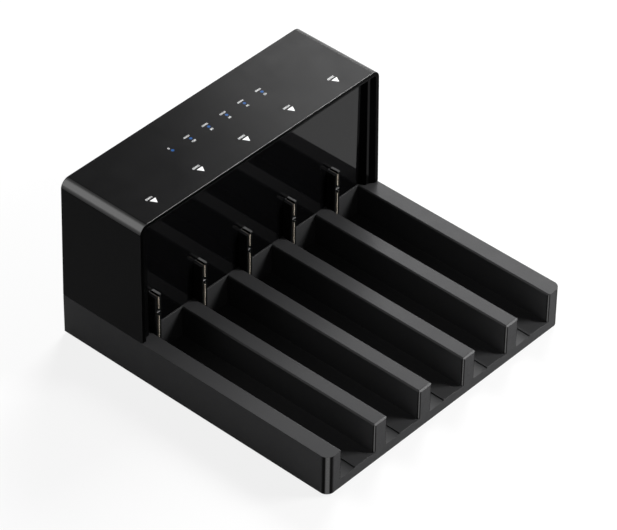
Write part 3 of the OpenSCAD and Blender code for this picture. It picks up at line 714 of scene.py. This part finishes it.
def softened(name, radius, shortest=2 * MM):
    """A copy of a part whose sharp outer edges longer than shortest are rounded by radius."""
    bm = joined_copy(name)
    sharp = [
        e for e in bm.edges
        if e.is_manifold and e.calc_face_angle_signed(0) > SHARP and e.calc_length() > shortest
    ]
    bmesh.ops.bevel(
        bm, geom=sharp, offset=radius, offset_type="OFFSET", segments=3, profile=0.5,
        affect="EDGES", clamp_overlap=False, material=-1,
    )
    piece = place_piece(bm, "soft_" + name, "station", slot_of[name])
    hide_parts(name)
    print(piece.name, len(sharp), "edges rounded,", len(piece.data.polygons), "faces")


softened("base_tray", 0.2 * MM)
softened("hood_shell", 0.18 * MM, shortest=0.2 * MM)
softened("front_bezel", 0.2 * MM)
for k in BAYS:
    softened(f"receptacle_{k}", 0.3 * MM)

# %% [markdown]
# ## Spring contacts
#
# Each socket holds fifteen power contacts below and seven signal contacts above. A contact is a
# strip of springy bronze plated with gold. Its nose, which a drive touches first, stands
# forward of the socket and is the thicker end, and a thin tail runs back along the groove's
# wall. It could be bent from a curve. One bar is subdivided along its length and its nose is
# pushed out instead, because the bar stays straight on the side that lies on the wall. The
# shaped bar is then repeated.

# %% Find the contacts' heights
POWER_PINS, SIGNAL_PINS = 15, 7
PIN_PITCH, PIN_GAP = 1.27 * MM, 6.35 * MM
PIN_WIDTH, PIN_THICKNESS = 0.5 * MM, 0.15 * MM


def contact_heights(foot):
    """The heights of all the contacts' middles; foot is the lowest one's lower edge."""
    first = foot + PIN_WIDTH / 2
    power = [first + i * PIN_PITCH for i in range(POWER_PINS)]
    signal = [power[-1] + PIN_GAP + i * PIN_PITCH for i in range(SIGNAL_PINS)]
    return power + signal


row = contact_heights(0)
print("contact rows are", round((row[-1] - row[0]) / MM, 2), "mm high")

# %% Shape the spring contacts
NOSE_THICKNESS = 0.5 * MM
# the nose ends and the tail starts at these shares of the length, counted from the tip
NOSE_SHARE, TAIL_SHARE = 0.03, 0.12
TIP_OUT = 0.4 * MM
CONTACT_CUTS = 19


def only_verts(geom):
    """The vertices in the mixed list that an operator gives back."""
    return [g for g in geom if isinstance(g, bmesh.types.BMVert)]


def spring_contacts(k):
    """The contacts of socket k."""
    low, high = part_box(f"contacts_{k}")
    front = low.y - TIP_OUT
    length = high.y - front
    bm = bmesh.new()
    bmesh.ops.create_cube(bm, size=1)
    bmesh.ops.scale(bm, verts=bm.verts, vec=(PIN_THICKNESS, length, PIN_WIDTH))
    long_edges = [e for e in bm.edges if abs(e.verts[0].co.y - e.verts[1].co.y) > length / 2]
    bmesh.ops.subdivide_edges(bm, edges=long_edges, cuts=CONTACT_CUTS)
    for v in bm.verts:
        share = v.co.y / length + 0.5
        along = min(max((share - NOSE_SHARE) / (TAIL_SHARE - NOSE_SHARE), 0), 1)
        if v.co.x < 0:
            v.co.x -= (NOSE_THICKNESS - PIN_THICKNESS) * math.cos(math.pi / 2 * along)
    heights = contact_heights(low.z)
    middle = (high.x - PIN_THICKNESS / 2, front + length / 2, heights[0])
    bmesh.ops.translate(bm, verts=bm.verts, vec=middle)
    first = bm.verts[:] + bm.edges[:] + bm.faces[:]
    for height in heights[1:]:
        made = bmesh.ops.duplicate(bm, geom=first)
        lift = (0, 0, height - heights[0])
        bmesh.ops.translate(bm, verts=only_verts(made["geom"]), vec=lift)
    piece = place_piece(bm, f"spring_contacts_{k}", "station", "contact_gold")
    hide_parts(f"contacts_{k}")
    print(piece.name, len(heights), "contacts,", len(piece.data.polygons), "faces")


for k in BAYS:
    spring_contacts(k)

# %% [markdown]
# ## Prints on the hood
#
# A white triangle in front of each lane's number shows where a drive goes in. Farther back,
# two rows of small plain numbers stand by the six lights. The prints could be a picture laid
# on the hood, but a film of ink with edges of its own stays sharp from close by. A number
# starts as text, becomes a mesh, and then lies flat on the hood's top.

# %% Print the triangles
INK = 0.03 * MM
TRIANGLE_X = (24.4, 62.9, 101.0, 139.3, 177.7)
TRIANGLE_BASE_Y = 157.0
TRIANGLE_WIDTH, TRIANGLE_DEPTH = 4.6, 4.0

top_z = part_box("hood_shell")[1].z
front_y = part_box("base_tray")[0].y
left_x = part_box("base_tray")[0].x


def on_top(x, y):
    """A point on the hood's top, x from the left edge and y from the front, in millimetres."""
    return Vector((left_x + x * MM, front_y + y * MM, top_z))


ink = bmesh.new()
for x in TRIANGLE_X:
    corners = (
        (x - TRIANGLE_WIDTH / 2, TRIANGLE_BASE_Y),
        (x, TRIANGLE_BASE_Y - TRIANGLE_DEPTH),
        (x + TRIANGLE_WIDTH / 2, TRIANGLE_BASE_Y),
    )
    face = ink.faces.new([ink.verts.new(on_top(*corner)) for corner in corners])
    made = bmesh.ops.extrude_face_region(ink, geom=[face])
    bmesh.ops.translate(ink, verts=only_verts(made["geom"]), vec=(0, 0, INK))
bmesh.ops.recalc_face_normals(ink, faces=ink.faces)
print("triangles have", len(ink.faces), "faces")

# %% Print the numbers
# the height of a figure as a share of the font's size
FIGURE_SHARE = 0.7
LANE_NUMBER_Y, LANE_NUMBER_HEIGHT = 158.9, 1.5
# a lane's number stands this much to the left of its triangle's middle
LANE_NUMBER_LEFT = 0.8
LIGHTS, FIRST_LIGHT_X, LIGHT_STEP = 6, 63.75, 15.1
LIGHT_X = [FIRST_LIGHT_X + LIGHT_STEP * k for k in range(LIGHTS)]
FIRST_NUMBER_Y, FIRST_NUMBER_HEIGHT = 182.1, 1.6
LIGHT_NUMBER_Y, LIGHT_NUMBER_HEIGHT = 182.2, 1.3
SHARE_Y, SHARE_HEIGHT, SHARE_STEP = 176.6, 1.5, 20


def print_number(words, x, y, height):
    """Adds a number to the ink, its middle at x and y, height millimetres tall."""
    curve = bpy.data.curves.new("number", "FONT")
    curve.body = words
    curve.size = height * MM / FIGURE_SHARE
    curve.align_x = "CENTER"
    curve.align_y = "CENTER"
    curve.extrude = INK / 2
    curve.resolution_u = 3
    holder = bpy.data.objects.new("number", curve)
    bpy.context.scene.collection.objects.link(holder)
    depsgraph = bpy.context.evaluated_depsgraph_get()
    mesh = bpy.data.meshes.new_from_object(holder.evaluated_get(depsgraph))
    mesh.transform(Matrix.Translation(on_top(x, y) + Vector((0, 0, INK / 2))))
    ink.from_mesh(mesh)
    bpy.data.objects.remove(holder)
    bpy.data.curves.remove(curve)
    bpy.data.meshes.remove(mesh)


for k, x in enumerate(TRIANGLE_X):
    print_number(f"{k + 1:05d}", x - LANE_NUMBER_LEFT, LANE_NUMBER_Y, LANE_NUMBER_HEIGHT)
print_number("0", LIGHT_X[0], FIRST_NUMBER_Y, FIRST_NUMBER_HEIGHT)
for k, x in enumerate(LIGHT_X[1:]):
    print_number(f"{k + 1:05d}", x, LIGHT_NUMBER_Y, LIGHT_NUMBER_HEIGHT)
    print_number(str(100 - SHARE_STEP * k), x, SHARE_Y, SHARE_HEIGHT)
print("triangles and numbers have", len(ink.faces), "faces")

# %% Lay the ink on the hood
tree, shader = new_finish("print_white", (0.8, 0.8, 0.8), 0.5, gloss=0.3)
roughness = to_range(tree, noise_at(tree, 0.2 * MM), 0.4, 0.6)
tree.links.new(roughness, shader.inputs["Roughness"])
patchy = to_range(tree, noise_at(tree, 0.3 * MM), 0, 1)
two_colours(tree, shader, patchy, (0.7, 0.7, 0.7), (0.85, 0.85, 0.85))

prints = place_piece(ink, "hood_prints", "station", "hood_plastic")
prints.data.materials[0] = finishes["print_white"]
print("ink film has", len(prints.data.polygons), "faces")
